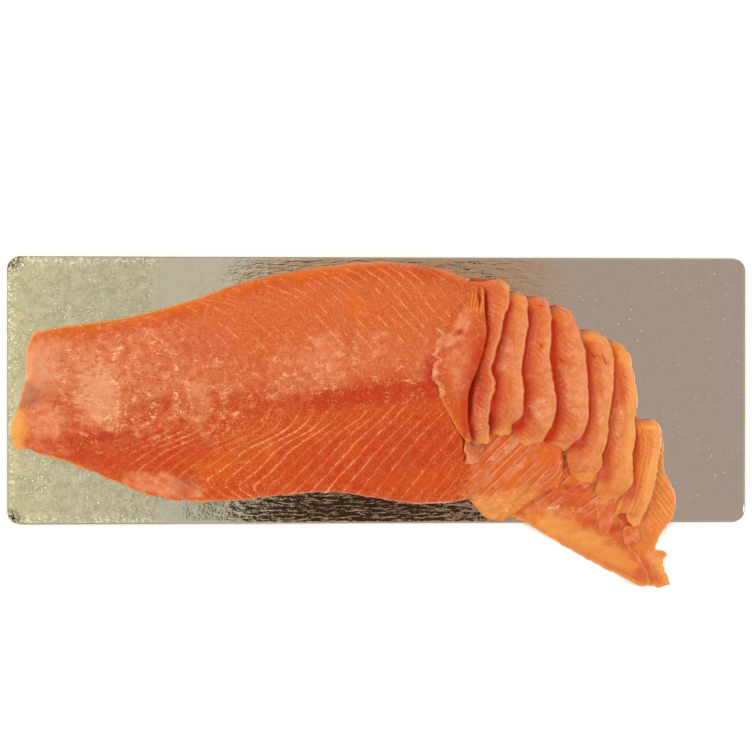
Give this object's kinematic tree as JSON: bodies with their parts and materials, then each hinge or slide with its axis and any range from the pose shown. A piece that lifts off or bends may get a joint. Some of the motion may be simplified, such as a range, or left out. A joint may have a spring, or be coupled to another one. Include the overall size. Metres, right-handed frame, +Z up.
{
  "type": "smoked salmon slices",
  "caption": "Part-sliced side of smoked salmon: an uncut side and a leaning row of folded slices, lying on a long foil-faced card board.",
  "frame": {"origin": "centre of the board's underside", "axes": "+X along the board, from the uncut end towards the slices; +Y across the board, from the belly edge to the back edge of the fish; +Z up"},
  "size_m": [0.5, 0.2253, 0.0269],
  "materials": {
    "smoked_salmon": "moist smoked fish flesh, orange-red with pale fat lines, soft wet gloss",
    "foil_card": "thin metallised foil on card, finely crinkled, blurred mirror"
  },
  "bodies": {
    "root": {"board": "foil_card", "salmon_side": "smoked_salmon", "slice_0": "smoked_salmon", "slice_1": "smoked_salmon", "slice_2": "smoked_salmon", "slice_3": "smoked_salmon", "slice_4": "smoked_salmon", "slice_5": "smoked_salmon", "slice_6": "smoked_salmon", "slice_7": "smoked_salmon", "base_slice": "smoked_salmon", "belly_slice_1": "smoked_salmon", "belly_slice_2": "smoked_salmon", "scrap_tab": "smoked_salmon", "scrap_tongue": "smoked_salmon", "scrap_corner": "smoked_salmon"}
  },
  "joints": []
}
